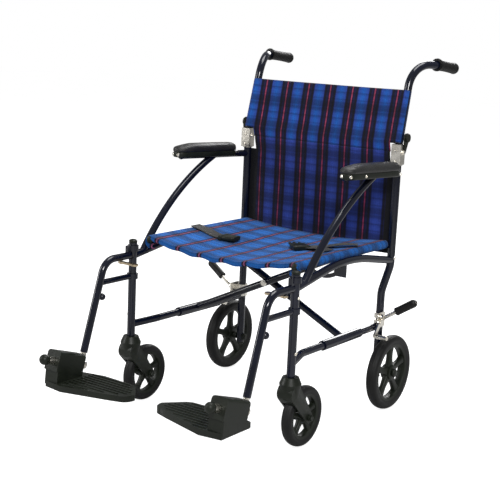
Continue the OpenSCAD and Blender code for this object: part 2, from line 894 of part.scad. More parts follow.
mirrored() arm_tube();  // right_arm_tube
mirrored() arm_pad();  // right_arm_pad
mirrored() brake_bracket();  // right_brake_bracket
mirrored() brake_lever();  // right_brake_lever
mirrored() brake_shoe();  // right_brake_shoe
mirrored() rear_axle();  // right_rear_axle
mirrored() hinge_bracket();  // right_hinge_bracket
mirrored() back_cane();  // right_back_cane
mirrored() push_grip();  // right_push_grip
mirrored() release_lever();  // right_release_lever
mirrored() rear_hub();  // right_rear_hub
mirrored() rear_tyre();  // right_rear_tyre
mirrored() caster_fork();  // right_caster_fork
mirrored() caster_hub();  // right_caster_hub
mirrored() caster_tyre();  // right_caster_tyre
mirrored() caster_axle();  // right_caster_axle
mirrored() hanger();  // right_hanger
mirrored() latch_lever();  // right_latch_lever
mirrored() extension();  // right_extension
mirrored() footplate();  // right_footplate
mirrored() stay_link();  // right_stay_link
placed() cross_member(1);  // cross_member_a
placed() cross_member(-1);  // cross_member_b
placed() seat_rail(1);  // seat_rail_left
placed() seat_rail(-1);  // seat_rail_right
placed() cross_bolt();
placed() seat_sling();
placed() back_upper_panel();
placed() back_lower_panel();
placed() belt(1, 78, -200);  // belt_left
placed() belt(-1, 60, -262);  // belt_right
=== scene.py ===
import json
import math
import bmesh
import bpy
from mathutils import Matrix, Vector, noise


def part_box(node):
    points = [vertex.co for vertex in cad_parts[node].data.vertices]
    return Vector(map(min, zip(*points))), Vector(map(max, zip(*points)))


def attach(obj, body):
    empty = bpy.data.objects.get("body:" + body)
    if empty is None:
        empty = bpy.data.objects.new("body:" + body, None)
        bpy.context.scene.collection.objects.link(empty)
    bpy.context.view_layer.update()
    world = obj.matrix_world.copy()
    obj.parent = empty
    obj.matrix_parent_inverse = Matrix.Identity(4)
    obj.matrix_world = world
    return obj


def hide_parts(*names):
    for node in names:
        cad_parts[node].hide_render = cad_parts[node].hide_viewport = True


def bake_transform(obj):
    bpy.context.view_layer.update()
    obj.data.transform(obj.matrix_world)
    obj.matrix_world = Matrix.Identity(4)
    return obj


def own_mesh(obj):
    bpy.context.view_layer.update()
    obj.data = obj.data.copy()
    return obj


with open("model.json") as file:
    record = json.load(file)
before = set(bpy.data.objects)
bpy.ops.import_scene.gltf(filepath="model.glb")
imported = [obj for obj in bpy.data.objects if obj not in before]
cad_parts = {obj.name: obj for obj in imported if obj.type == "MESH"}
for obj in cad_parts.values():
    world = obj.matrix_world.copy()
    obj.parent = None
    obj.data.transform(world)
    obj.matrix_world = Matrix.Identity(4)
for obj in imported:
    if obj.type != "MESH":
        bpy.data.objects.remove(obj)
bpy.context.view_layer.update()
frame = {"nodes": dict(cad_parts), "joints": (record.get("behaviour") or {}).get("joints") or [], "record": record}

JOINTS = {joint["name"]: joint for joint in frame["joints"]}
SIDES = (("left", 1), ("right", -1))


# ---- Places taken from the frame -------------------------------------------

def centre(node):
    low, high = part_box(node)
    return (Vector(low) + Vector(high)) / 2


def pivot(joint):
    return Vector(JOINTS[joint]["pos_m"])


AXLE = centre("left_rear_tyre")
POST_X = AXLE.x - 0.039
POST_R = 0.0105
RAIL_LOW, RAIL_HIGH = (Vector(corner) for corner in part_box("seat_rail_left"))
RAIL_X = (RAIL_LOW.x + RAIL_HIGH.x) / 2
RAIL_Z = (RAIL_LOW.z + RAIL_HIGH.z) / 2
RAIL_R = (RAIL_HIGH.z - RAIL_LOW.z) / 2 - 0.001
FOLD = pivot("left_back_fold")
CANE_R = 0.0105
CANE_FOOT = FOLD.z + 0.022
BACK_RAKE = math.radians(13.5)
FABRIC = 0.0016


# ---- Camera and light -------------------------------------------------------

CAMERA_TURN = (35.728, 11.212, 2.581)
CAMERA_PLACE = (1.69016, AXLE.y - 2.64023, 1.00892)


def make_camera():
    yaw, pitch, roll = (math.radians(turn) for turn in CAMERA_TURN)
    look = Vector((-math.sin(yaw) * math.cos(pitch), math.cos(yaw) * math.cos(pitch), -math.sin(pitch)))
    right = look.cross(Vector((0, 0, 1))).normalized()
    up = right.cross(look)
    side = right * math.cos(roll) + up * math.sin(roll)
    top = up * math.cos(roll) - right * math.sin(roll)
    data = bpy.data.cameras.new("Camera")
    data.lens = 82.26
    data.sensor_width = 36
    camera = bpy.data.objects.new("Camera", data)
    place = Matrix((side, top, -look)).transposed().to_4x4()
    place.translation = Vector(CAMERA_PLACE)
    camera.matrix_world = place
    bpy.context.scene.collection.objects.link(camera)
    bpy.context.scene.camera = camera


def make_light(name, place, aim, size, power):
    data = bpy.data.lights.new(name, "AREA")
    data.shape = "RECTANGLE"
    data.size, data.size_y = size
    data.energy = power
    light = bpy.data.objects.new(name, data)
    direction = Vector(aim) - Vector(place)
    turn = direction.to_track_quat("-Z", "Y").to_matrix().to_4x4()
    light.matrix_world = Matrix.Translation(place) @ turn
    bpy.context.scene.collection.objects.link(light)


def make_studio():
    world = bpy.data.worlds.new("Studio")
    world.use_nodes = True
    nodes, links = world.node_tree.nodes, world.node_tree.links
    seen = nodes.new("ShaderNodeLightPath").outputs["Is Camera Ray"]
    strength = nodes.new("ShaderNodeMapRange")
    strength.inputs["To Min"].default_value = 0.34
    strength.inputs["To Max"].default_value = 1.0
    links.new(seen, strength.inputs["Value"])
    nodes["Background"].inputs["Color"].default_value = (1, 1, 1, 1)
    links.new(strength.outputs["Result"], nodes["Background"].inputs["Strength"])
    scene = bpy.context.scene
    scene.world = world
    scene.view_settings.view_transform = "Standard"
    make_light("Key", (2.4, -2.6, 2.6), (0, 0, 0.5), (0.9, 0.9), 95)
    make_light("Fill", (-2.6, -2.2, 1.6), (0, 0, 0.4), (0.5, 1.8), 42)
    make_light("Top", (0.2, 0.5, 3.2), (0, 0, 0.5), (1.6, 1.6), 55)
    make_light("Back", (-0.8, 2.8, 1.8), (0, 0, 0.6), (1.0, 1.4), 40)
    bm = bmesh.new()
    bmesh.ops.create_grid(bm, x_segments=1, y_segments=1, size=14)
    floor = new_object("Floor", bm, floor_material())


# ---- Material helpers -------------------------------------------------------

class Tree:
    """Short names for building one material's nodes."""

    def __init__(self, name):
        self.material = bpy.data.materials.new(name)
        self.material.use_nodes = True
        self.nodes = self.material.node_tree.nodes
        self.links = self.material.node_tree.links
        self.shader = self.nodes["Principled BSDF"]

    def add(self, kind, settings=None, **inputs):
        made = self.nodes.new("ShaderNode" + kind)
        for key, value in (settings or {}).items():
            setattr(made, key, value)
        for key, value in inputs.items():
            self.put(made.inputs[key.replace("_", " ")], value)
        return made

    def put(self, socket, value):
        if isinstance(value, bpy.types.NodeSocket):
            self.links.new(value, socket)
        else:
            socket.default_value = value

    def math(self, operation, a, b=0.0):
        made = self.nodes.new("ShaderNodeMath")
        made.operation = operation
        self.put(made.inputs[0], a)
        self.put(made.inputs[1], b)
        return made.outputs[0]

    def mix(self, share, a, b, blend="MIX"):
        made = self.nodes.new("ShaderNodeMix")
        made.data_type = "RGBA"
        made.blend_type = blend
        self.put(made.inputs[0], share)
        self.put(made.inputs[6], a)
        self.put(made.inputs[7], b)
        return made.outputs[2]

    def ramp(self, value, stops, interpolation="LINEAR"):
        made = self.nodes.new("ShaderNodeValToRGB")
        made.color_ramp.interpolation = interpolation
        elements = made.color_ramp.elements
        while len(elements) < len(stops):
            elements.new(0.5)
        for element, (position, colour) in zip(elements, stops):
            element.position = position
            element.color = (*colour, 1) if len(colour) == 3 else colour
        self.put(made.inputs[0], value)
        return made.outputs[0]

    def grain(self, scale, detail=3.0, rough=0.5):
        where = self.add("TexCoord").outputs["Object"]
        made = self.add("TexNoise", None, Vector=where, Scale=scale, Detail=detail, Roughness=rough)
        return made.outputs[0]

    def bump(self, height, strength, distance):
        made = self.add("Bump", None, Height=height, Strength=strength, Distance=distance)
        self.links.new(made.outputs[0], self.shader.inputs["Normal"])

    def surface(self, **inputs):
        for key, value in inputs.items():
            self.put(self.shader.inputs[key.replace("_", " ")], value)


def grey(level):
    return (level, level, level)


def frame_paint():
    t = Tree("Midnight blue enamel")
    speckle = t.grain(900, 2)
    shade = t.grain(14, 3)
    t.surface(Base_Color=t.ramp(shade, [(0.3, (0.0015, 0.0025, 0.008)), (0.7, (0.003, 0.005, 0.016))]),
              Roughness=t.ramp(shade, [(0.3, grey(0.12)), (0.75, grey(0.2))]), Specular_IOR_Level=0.5)
    t.bump(speckle, 0.02, 0.0001)
    return t.material


def bright_zinc(name, light, dark):
    t = Tree(name)
    brushed = t.grain(60, 4, 0.6)
    stain = t.grain(18, 3)
    t.surface(Base_Color=t.ramp(stain, [(0.3, dark), (0.7, light)]), Metallic=1.0,
              Roughness=t.ramp(brushed, [(0.25, grey(0.2)), (0.75, grey(0.34))]))
    t.bump(brushed, 0.05, 0.0001)
    return t.material


def moulded_plastic(name, light, dark, rough=0.42):
    t = Tree(name)
    grain = t.grain(1400, 2)
    shade = t.grain(22, 4)
    t.surface(Base_Color=t.ramp(shade, [(0.3, dark), (0.7, light)]),
              Roughness=t.ramp(shade, [(0.3, grey(rough - 0.07)), (0.7, grey(rough + 0.08))]),
              Specular_IOR_Level=0.28)
    t.bump(grain, 0.25, 0.0003)
    return t.material


def soft_rubber(name, level, rough):
    t = Tree(name)
    grain = t.grain(700, 4)
    shade = t.grain(18, 3)
    t.surface(Base_Color=t.ramp(shade, [(0.3, grey(level * 0.7)), (0.7, grey(level * 1.3))]),
              Roughness=t.ramp(grain, [(0.3, grey(rough - 0.08)), (0.7, grey(rough + 0.1))]),
              Specular_IOR_Level=0.25)
    t.bump(grain, 0.3, 0.0004)
    return t.material


def pad_vinyl():
    t = Tree("Grained black vinyl")
    where = t.add("TexCoord").outputs["Object"]
    pebbles = t.add("TexVoronoi", {"feature": "DISTANCE_TO_EDGE"}, Vector=where, Scale=420.0)
    shade = t.grain(25, 4)
    t.surface(Base_Color=t.ramp(shade, [(0.3, grey(0.008)), (0.7, grey(0.02))]),
              Roughness=t.ramp(shade, [(0.3, grey(0.34)), (0.7, grey(0.5))]),
              Specular_IOR_Level=0.5)
    t.bump(t.ramp(pebbles.outputs["Distance"], [(0.0, grey(0)), (0.25, grey(1))]), 0.5, 0.0004)
    return t.material


def weave_height(t, across, along, thread):
    """The height of threads that far apart, crossing over and under each other."""
    turn = 2 * math.pi / thread
    warp = t.math("SINE", t.math("MULTIPLY", across, turn))
    weft = t.math("SINE", t.math("MULTIPLY", along, turn))
    return t.math("MULTIPLY", warp, weft)


PLAID = 0.0705
PINK_AT = 0.010
PINK_HALF = 0.022
ROW_SHIFT = 0.08
FINE_LINES = 11
CLOTH_THREAD = 0.0011
WEBBING_THREAD = 0.0022


def plaid(name, blue, deep, pink, dark_half, hem=1.0):
    """Woven plaid on the cloth's own UV map, in metres, repeating every PLAID both ways.

    Across the cloth, pink lines stand in dark bands between blue bands of fine lines. Along it, pale
    and dark bands alternate. Further from the middle than hem the cloth is black.
    """
    t = Tree(name)
    cloth = t.add("SeparateXYZ", None, Vector=t.add("UVMap", {"uv_map": "Cloth"}).outputs[0])
    across, along = cloth.outputs["X"], cloth.outputs["Y"]
    wander = t.math("MULTIPLY", t.math("SUBTRACT", t.grain(5, 2), 0.5), 0.05)
    turned = t.math("DIVIDE", t.math("SUBTRACT", across, PINK_AT), PLAID)
    column = t.math("FRACT", t.math("ADD", t.math("ADD", turned, 0.5), wander))
    row = t.math("FRACT", t.math("ADD", t.math("DIVIDE", along, PLAID), ROW_SHIFT))
    navy, ink = (0.006, 0.008, 0.05), (0.003, 0.003, 0.008)
    low, high = 0.5 - dark_half, 0.5 + dark_half
    warp = t.ramp(column, [
        (0.0, blue), (low - 0.05, deep), (low - 0.03, navy), (low + 0.02, ink),
        (0.5 - PINK_HALF - 0.07, navy), (0.5 - PINK_HALF - 0.012, ink),
        (0.5 - PINK_HALF, pink), (0.5 + PINK_HALF, pink),
        (0.5 + PINK_HALF + 0.012, ink), (0.5 + PINK_HALF + 0.07, navy),
        (high - 0.02, ink), (high + 0.03, navy), (high + 0.05, deep), (1.0, blue)])
    thread = t.math("ABSOLUTE", t.math("SINE", t.math("MULTIPLY", column, math.pi * FINE_LINES)))
    lines = t.ramp(thread, [
        (0.0, (1.9, 1.35, 1.25)), (0.16, (1.3, 1.1, 1.1)), (0.32, grey(0.74)), (1.0, grey(0.92))])
    bands = ((0.0, 1.12), (0.08, 0.9), (0.12, 0.62), (0.18, 1.1), (0.3, 1.0), (0.38, 0.58), (0.44, 0.5),
             (0.5, 0.72), (0.54, 0.46), (0.72, 0.52), (0.8, 0.95), (0.85, 0.7), (0.9, 1.1), (1.0, 1.12))
    weft = t.ramp(row, [(position, grey(level)) for position, level in bands])
    slub = t.ramp(t.grain(300, 4), [(0.25, grey(0.78)), (0.75, grey(1.2))])
    shade = t.ramp(t.grain(9, 3), [(0.3, grey(0.82)), (0.7, grey(1.16))])
    woven = warp
    for layer in (lines, weft, slub, shade):
        woven = t.mix(1.0, woven, layer, "MULTIPLY")
    edge = t.math("GREATER_THAN", t.math("ABSOLUTE", across), hem)
    woven = t.mix(edge, woven, (0.004, 0.004, 0.006, 1))
    t.surface(Base_Color=woven, Roughness=0.8, Sheen_Weight=0.08, Sheen_Roughness=0.4,
              Specular_IOR_Level=0.2)
    t.bump(weave_height(t, across, along, CLOTH_THREAD), 0.5, 0.00035)
    return t.material


def belt_webbing():
    t = Tree("Black belt webbing")
    cloth = t.add("SeparateXYZ", None, Vector=t.add("UVMap", {"uv_map": "Cloth"}).outputs[0])
    rib = weave_height(t, cloth.outputs["X"], cloth.outputs["Y"], WEBBING_THREAD)
    t.surface(Base_Color=t.ramp(t.grain(60, 3), [(0.3, grey(0.006)), (0.7, grey(0.016))]),
              Roughness=0.7, Sheen_Weight=0.1)
    t.bump(rib, 0.7, 0.0006)
    return t.material


def floor_material():
    t = Tree("White studio floor")
    seen = t.add("LightPath").outputs["Is Camera Ray"]
    glow = t.math("MULTIPLY", seen, 0.80)
    shade = t.grain(3, 2)
    t.surface(Base_Color=t.ramp(shade, [(0.3, grey(0.56)), (0.7, grey(0.6))]), Roughness=0.9,
              Specular_IOR_Level=0.0, Emission_Color=(1, 1, 1, 1), Emission_Strength=glow)
    return t.material


# ---- Mesh helpers -----------------------------------------------------------

SHARP = math.radians(35)


def new_object(name, bm, material, sharp=SHARP):
    mesh = bpy.data.meshes.new(name)
    bm.to_mesh(mesh)
    bm.free()
    for face in mesh.polygons:
        face.use_smooth = True
    mesh.set_sharp_from_angle(angle=sharp)
    obj = bpy.data.objects.new(name, mesh)
    bpy.context.scene.collection.objects.link(obj)
    obj.data.materials.append(material)
    return obj


def piece(name, bm, material, body, nodes=(), sharp=SHARP):
    """A piece that rides its body, where one is named, and stands in for the nodes given."""
    obj = new_object(name, bm, material, sharp)
    if body:
        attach(obj, body)
    if nodes:
        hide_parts(*nodes)
    return obj


def mirrored(bm, sign):
    """Turns a left-hand shape into the right-hand one where sign is -1."""
    if sign < 0:
        bmesh.ops.scale(bm, vec=(-1, 1, 1), verts=bm.verts)
        bmesh.ops.reverse_faces(bm, faces=bm.faces)
    return bm


def add_modifier(obj, kind, name, **settings):
    made = obj.modifiers.new(name, kind)
    for key, value in settings.items():
        setattr(made, key, value)
    return made


def cloth_grid(columns, rows, width, height, place, keep=None):
    """A flat cut of cloth, width by height, carried point by point onto its place.

    Its UVs are its flat coordinates, and the faces that keep says no to are cut away.
    """
    bm = bmesh.new()
    bmesh.ops.create_grid(bm, x_segments=columns, y_segments=rows, size=0.5)
    layer = bm.loops.layers.uv.new("Cloth")
    for vert in bm.verts:
        vert.co = Vector((vert.co.x * width, (vert.co.y + 0.5) * height, 0))
    for face in bm.faces:
        for loop in face.loops:
            loop[layer].uv = (loop.vert.co.x, loop.vert.co.y)
    if keep:
        outside = [face for face in bm.faces if not keep(*face.calc_center_median().xy)]
        bmesh.ops.delete(bm, geom=outside, context="FACES")
    for vert in bm.verts:
        vert.co = place(vert.co.x, vert.co.y)
    bmesh.ops.recalc_face_normals(bm, faces=bm.faces)
    return bm


def thicken(obj, thickness, offset=0.0):
    add_modifier(obj, "SOLIDIFY", "Cloth thickness", thickness=thickness, offset=offset)


# ---- Upholstery --------------------------------------------------------------

def round_tube(distance, radius):
    """Where cloth stands that runs flat until 0, then round a tube of that radius.

    Returns how far outwards and how far towards the back, from the tube's middle.
    """
    if distance <= 0:
        return distance, -radius
    if distance < math.pi * radius:
        turn = distance / radius
        return radius * math.sin(turn), -radius * math.cos(turn)
    return math.pi * radius - distance, radius


BACK_HALF = FOLD.x - 0.002
BACK_TAPER = 0.018
BACK_SLACK = 0.006
UPPER_RISE = 0.163
UPPER_WAVE = 0.001
SEAM = CANE_FOOT - FOLD.z
WRAP_R = CANE_R + 0.0012
SLEEVE = math.pi * WRAP_R + 0.045
NOTCH = 0.221


def ease(value):
    value = min(max(value, 0), 1)
    return value * value * (3 - 2 * value)


def upper_back_place(across, up):
    """up is counted from the fold seam along the cane."""
    height = up - SEAM
    half = BACK_HALF - max(height, 0) * BACK_TAPER
    side = math.copysign(1, across)
    out, back = round_tube(abs(across) - half, WRAP_R)
    if abs(across) < half:
        back += (WRAP_R - BACK_SLACK * ease(height / 0.14)) * (1 - (across / half) ** 4)
        back += UPPER_WAVE * noise.noise(Vector((across * 9, up * 14, 3)))
        back *= 1 + min(height, 0) / SEAM
    x = side * (half + out)
    y = FOLD.y + max(height, 0) * math.sin(BACK_RAKE) + back * math.cos(BACK_RAKE)
    z = CANE_FOOT + min(height, 0) + max(height, 0) * math.cos(BACK_RAKE) - back * math.sin(BACK_RAKE)
    return Vector((x, y, z))


def build_upper_back(material):
    rise = UPPER_RISE
    half = BACK_HALF + SLEEVE
    bm = cloth_grid(108, 34, 2 * half, rise, upper_back_place,
                    keep=lambda a, h: abs(a) < NOTCH or h > SEAM)
    back = piece("back_upholstery_upper", bm, material, "left_back", ["back_upper_panel"])
    thicken(back, FABRIC)
    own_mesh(back)


LOWER_TOP = 0.039
LOWER_FOOT = RAIL_Z - 0.027
LOWER_WRAP_R = 0.0125
LOWER_WRAP = 0.013
LOWER_WAVE = 0.0015


def lower_back_place(across, up):
    """up is counted from the panel's foot."""
    z = LOWER_FOOT + up
    drop = FOLD.z - z
    half = FOLD.x - 0.006
    side = math.copysign(1, across)
    out, back = round_tube(abs(across) - half, LOWER_WRAP_R)
    if abs(across) < half:
        reach = ease(drop / 0.045)
        back = WRAP_R * reach * (1 - 0.9 * (1 - (across / half) ** 4))
        back += LOWER_WAVE * noise.noise(Vector((across * 8, up * 9, 1))) * reach
        return Vector((across, FOLD.y + back, z))
    x = side * (half + min(max(out, 0), LOWER_WRAP))
    return Vector((x, FOLD.y + WRAP_R + (back + LOWER_WRAP_R) * 0.25, z))


def build_lower_back(material):
    rise = FOLD.z - LOWER_FOOT
    half = FOLD.x + 0.007
    bm = cloth_grid(96, 52, 2 * half, rise, lower_back_place,
                    keep=lambda a, h: abs(a) < NOTCH or h < rise - LOWER_TOP)
    back = piece("back_upholstery_lower", bm, material, "left_frame", ["back_lower_panel"])
    thicken(back, FABRIC)
    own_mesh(back)


SEAT_FRONT = RAIL_LOW.y + 0.002
SEAT_REAR = RAIL_HIGH.y + 0.012
SEAT_WRAP = RAIL_R + 0.0012
SEAT_SAG = 0.024
SEAT_TUCK = 0.028
SEAT_HEM_R = 0.006
SEAT_RIPPLE = 0.0022
SEAT_WAVE = 0.0012


def seat_place(across, along):
    """along is counted backwards from the end of the cloth that is tucked under at the front."""
    hem = SEAT_HEM_R
    half = RAIL_X
    side = math.copysign(1, across)
    out, down = round_tube(abs(across) - half, SEAT_WRAP)
    depth = along - SEAT_TUCK
    share = max(1 - (across / half) ** 2, 0) if abs(across) < half else 0
    sag = SEAT_SAG * share * (0.8 + 0.2 * math.cos(math.pi * max(depth, 0) / 0.44))
    ripple = SEAT_RIPPLE * share * math.sin(across / PLAID * 2 * math.pi) * math.exp(-max(depth, 0) / 0.05)
    z = RAIL_Z - down - sag + ripple + SEAT_WAVE * noise.noise(Vector((across * 10, along * 8, 7))) * share
    y = SEAT_FRONT + depth
    if depth < 0:
        turn = min(-depth / hem, math.pi)
        y = SEAT_FRONT - hem * math.sin(turn) + max(-depth - math.pi * hem, 0)
        z -= hem * (1 - math.cos(turn))
    return Vector((side * (half + out), y, z))


def build_seat(material):
    half = RAIL_X + math.pi * SEAT_WRAP + 0.012
    length = SEAT_REAR - SEAT_FRONT + SEAT_TUCK
    bm = cloth_grid(128, 76, 2 * half, length, seat_place)
    seat = piece("seat_upholstery", bm, material, None, ["seat_sling"])
    thicken(seat, FABRIC)
    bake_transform(seat)


# ---- Shapes for small parts ----------------------------------------------------

def turn_to(place, along):
    """The matrix that stands a shape made along +Z at place, pointing along."""
    return Matrix.Translation(place) @ Vector(along).to_track_quat("Z", "Y").to_matrix().to_4x4()


def lathe(profile, place, along, steps=40, into=None):
    """A turned shape: profile is a row of (radius, distance along the axis)."""
    bm = bmesh.new()
    points = [bm.verts.new((max(radius, 0.00001), 0, distance)) for radius, distance in profile]
    edges = [bm.edges.new(pair) for pair in zip(points, points[1:])]
    bmesh.ops.spin(bm, geom=points + edges, cent=(0, 0, 0), axis=(0, 0, 1), angle=2 * math.pi, steps=steps,
                   use_merge=True, use_duplicate=False)
    bmesh.ops.remove_doubles(bm, verts=bm.verts, dist=0.00003)
    bmesh.ops.recalc_face_normals(bm, faces=bm.faces)
    bmesh.ops.transform(bm, matrix=turn_to(place, along), verts=bm.verts)
    return join_into(into, bm)


def join_into(into, bm):
    """Adds one shape to another, where there is one to add to."""
    if into is None:
        return bm
    held = bpy.data.meshes.new("Held")
    bm.to_mesh(held)
    bm.free()
    into.from_mesh(held)
    bpy.data.meshes.remove(held)
    return into


def rounded_box(size, place, turn=Matrix.Identity(3), radius=0.002, segments=3, into=None):
    """A box of that size with rounded edges, its middle at place."""
    bm = bmesh.new()
    bmesh.ops.create_cube(bm, size=1)
    bmesh.ops.scale(bm, vec=size, verts=bm.verts)
    bmesh.ops.bevel(bm, geom=bm.edges[:], offset=radius, offset_type="OFFSET", segments=segments,
                    profile=0.5, affect="EDGES", material=-1)
    bmesh.ops.transform(bm, matrix=Matrix.Translation(place) @ turn.to_4x4(), verts=bm.verts)
    return join_into(into, bm)


def slab(outline, low, high, radius):
    """A flat plate of that outline with rounded rims, between two heights."""
    bm = bmesh.new()
    base = bm.faces.new([bm.verts.new((x, y, low)) for x, y in outline])
    made = bmesh.ops.extrude_face_region(bm, geom=[base])
    upper = [v for v in made["geom"] if isinstance(v, bmesh.types.BMVert)]
    bmesh.ops.translate(bm, vec=(0, 0, high - low), verts=upper)
    bmesh.ops.recalc_face_normals(bm, faces=bm.faces)
    rims = [e for e in bm.edges if abs(e.verts[0].co.z - e.verts[1].co.z) < 1e-6]
    bmesh.ops.bevel(bm, geom=rims, offset=radius, offset_type="OFFSET", segments=3, profile=0.5,
                    affect="EDGES", material=-1)
    return bm


SCREW_R = 0.0045
SMALL_SCREW_R = 0.0032


def hex_bolt(place, along, across_flats, into):
    """A hexagon head with a bevelled rim, on a washer."""
    radius = across_flats / math.sqrt(3)
    washer = 0.0012
    rim = radius * 1.35
    face = radius * 0.85
    lathe([(0, 0), (rim, 0), (rim, 0.0008), (radius * 1.3, washer), (0, washer)], place, along, 24, into)
    lathe([(0, washer), (radius, washer), (radius, radius * 0.7), (radius * 0.86, face), (0, face)],
          place, along, 6, into)


def dome_screw(place, along, radius, into):
    """A round-headed screw with a socket."""
    shape = ((1, 0), (1, 0.25), (0.8, 0.55), (0.45, 0.66), (0.42, 0.3), (0, 0.3))
    lathe([(radius * out, radius * up) for out, up in shape], place, along, 20, into)


# ---- Grips, pads and belts ------------------------------------------------------

GRIP_RIBS = 11
GRIP_END_R = 0.0135


def build_push_grip(side, sign, material):
    low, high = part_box("left_push_grip")
    along = Vector((0, 1, -0.1)).normalized()
    length = (high.y - low.y) / along.y - 0.004
    middle = (low + high) / 2
    profile = [(0.0108, 0), (0.0168, 0), (0.0172, 0.001), (0.0172, 0.0042), (0.0150, 0.0052)]
    for index in range(GRIP_RIBS):
        start = 0.009 + index * (length - 0.028) / GRIP_RIBS
        step = (length - 0.028) / GRIP_RIBS
        waist = 0.0142 - 0.0008 * math.sin(math.pi * index / (GRIP_RIBS - 1))
        profile += [(waist - 0.0011, start), (waist + 0.0004, start + step * 0.25),
                    (waist + 0.0004, start + step * 0.75), (waist - 0.0011, start + step)]
    for turn in range(0, 91, 10):
        angle = math.radians(turn)
        profile.append((0.0155 * math.cos(angle), length - GRIP_END_R + GRIP_END_R * math.sin(angle)))
    bm = mirrored(lathe(profile, middle - along * length / 2, along, 48), sign)
    piece(side + "_ribbed_grip", bm, material, side + "_back", [side + "_push_grip"])


def stadium(radius, straight, inset, arc=12, run=10):
    """Points round a long shape with round ends, along Y about the origin, moved inwards by inset."""
    points = []
    reach = radius - inset
    for end in (1, -1):
        for step in range(arc + 1):
            angle = math.pi * step / arc + (0 if end > 0 else math.pi)
            points.append((reach * math.cos(angle), end * straight / 2 + reach * math.sin(angle)))
        for step in range(1, run):
            points.append((-end * reach, end * straight / 2 - end * straight * step / run))
    return points


def ring_stack(rings):
    """A skin through rings of points that all have the same count."""
    bm = bmesh.new()
    made = [[bm.verts.new(point) for point in ring] for ring in rings]
    count = len(made[0])
    for lower, upper in zip(made, made[1:]):
        for index in range(count):
            after = (index + 1) % count
            bm.faces.new((lower[index], lower[after], upper[after], upper[index]))
    bmesh.ops.remove_doubles(bm, verts=bm.verts, dist=0.0002)
    bmesh.ops.recalc_face_normals(bm, faces=bm.faces)
    return bm


PAD_H = 0.024
PAD_SECTION_H = 0.0236
PAD_SECTION = ((0.010, 0), (0.004, 0), (0.001, 0.0015), (0, 0.005), (0, 0.010), (0.001, 0.0145),
               (0.003, 0.018), (0.006, 0.0205), (0.010, 0.0222), (0.015, 0.0232))
PAD_HELD = 0.004
PUFF_STEPS = 14
PUFF_LIMIT = 0.0022


def build_arm_pad(side, sign, vinyl, plastic, metal):
    low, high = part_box("left_arm_pad")
    radius = (high.x - low.x) / 2
    straight = high.y - low.y - 2 * radius
    middle = (low + high) / 2
    climb = (high.z - low.z - PAD_H) / (high.y - low.y)

    def drop(y):
        return 0.007 * ease((-y - straight * 0.28) / (straight * 0.3))

    def underside(y):
        return low.z + climb * (straight / 2 + radius - y)

    rings = []
    for inset, height in ((radius, 0), *PAD_SECTION, (radius, PAD_SECTION_H)):
        share = height / PAD_SECTION_H
        rings.append([(middle.x + x, middle.y + y, underside(y) + share * (PAD_H - 0.001 - drop(y)))
                      for x, y in stadium(radius - 0.0005, straight, min(inset, radius - 0.0006))])
    pad = piece(side + "_arm_cushion", mirrored(ring_stack(rings), sign), vinyl, None,
                [side + "_arm_pad"], sharp=math.radians(60))
    puff_up(pad, lambda place: place.z - underside(place.y - middle.y) < PAD_HELD)
    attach(pad, side + "_frame")

    outline = [(middle.x + x, middle.y + y) for x, y in stadium(radius - 0.0015, straight, 0)]
    tray = slab(outline, -0.0145, 0.0008, 0.003)
    for vert in tray.verts:
        vert.co.z += underside(vert.co.y - middle.y)
    piece(side + "_arm_tray", mirrored(tray, sign), plastic, side + "_frame")
    screws = bmesh.new()
    front = middle.y - straight / 2
    for across, y, out in ((-0.35, front - radius * 0.93, (-0.35, -1, 0)),
                           (0.75, front - radius * 0.62, (0.75, -0.65, 0)),
                           (0.99, front + 0.05, (1, 0, 0))):
        place = (middle.x + across * (radius - 0.002), y, underside(y - middle.y) - 0.007)
        dome_screw(place, out, SCREW_R, screws)
    piece(side + "_arm_screws", mirrored(screws, sign), metal, side + "_frame")


def puff_up(obj, pinned):
    """A short inflation that rounds the cushion's skin, held at its lower rim."""
    group = obj.vertex_groups.new(name="Held")
    held = [v.index for v in obj.data.vertices if pinned(v.co)]
    group.add(held, 1.0, "REPLACE")
    cloth = add_modifier(obj, "CLOTH", "Inflate").settings
    cloth.vertex_group_mass = "Held"
    cloth.use_pressure = True
    cloth.uniform_pressure_force = 4.0
    cloth.tension_stiffness = 40
    cloth.compression_stiffness = 40
    cloth.bending_stiffness = 8
    cloth.mass = 0.3
    cloth.effector_weights.gravity = 0
    scene = bpy.context.scene
    for frame_number in range(1, PUFF_STEPS + 1):
        scene.frame_set(frame_number)
    bpy.context.view_layer.update()
    shaped = obj.evaluated_get(bpy.context.evaluated_depsgraph_get())
    places = [v.co.copy() for v in shaped.data.vertices]
    obj.modifiers.clear()
    for vert, place in zip(obj.data.vertices, places):
        shift = place - vert.co
        vert.co += shift * min(1, PUFF_LIMIT / max(shift.length, 1e-9))
    obj.vertex_groups.clear()
    scene.frame_set(1)


def on_seat(x, y, lift):
    """The place that far above the seat cover."""
    spot = seat_place(x, y - SEAT_FRONT + SEAT_TUCK)
    return Vector((x, y, spot.z + lift))


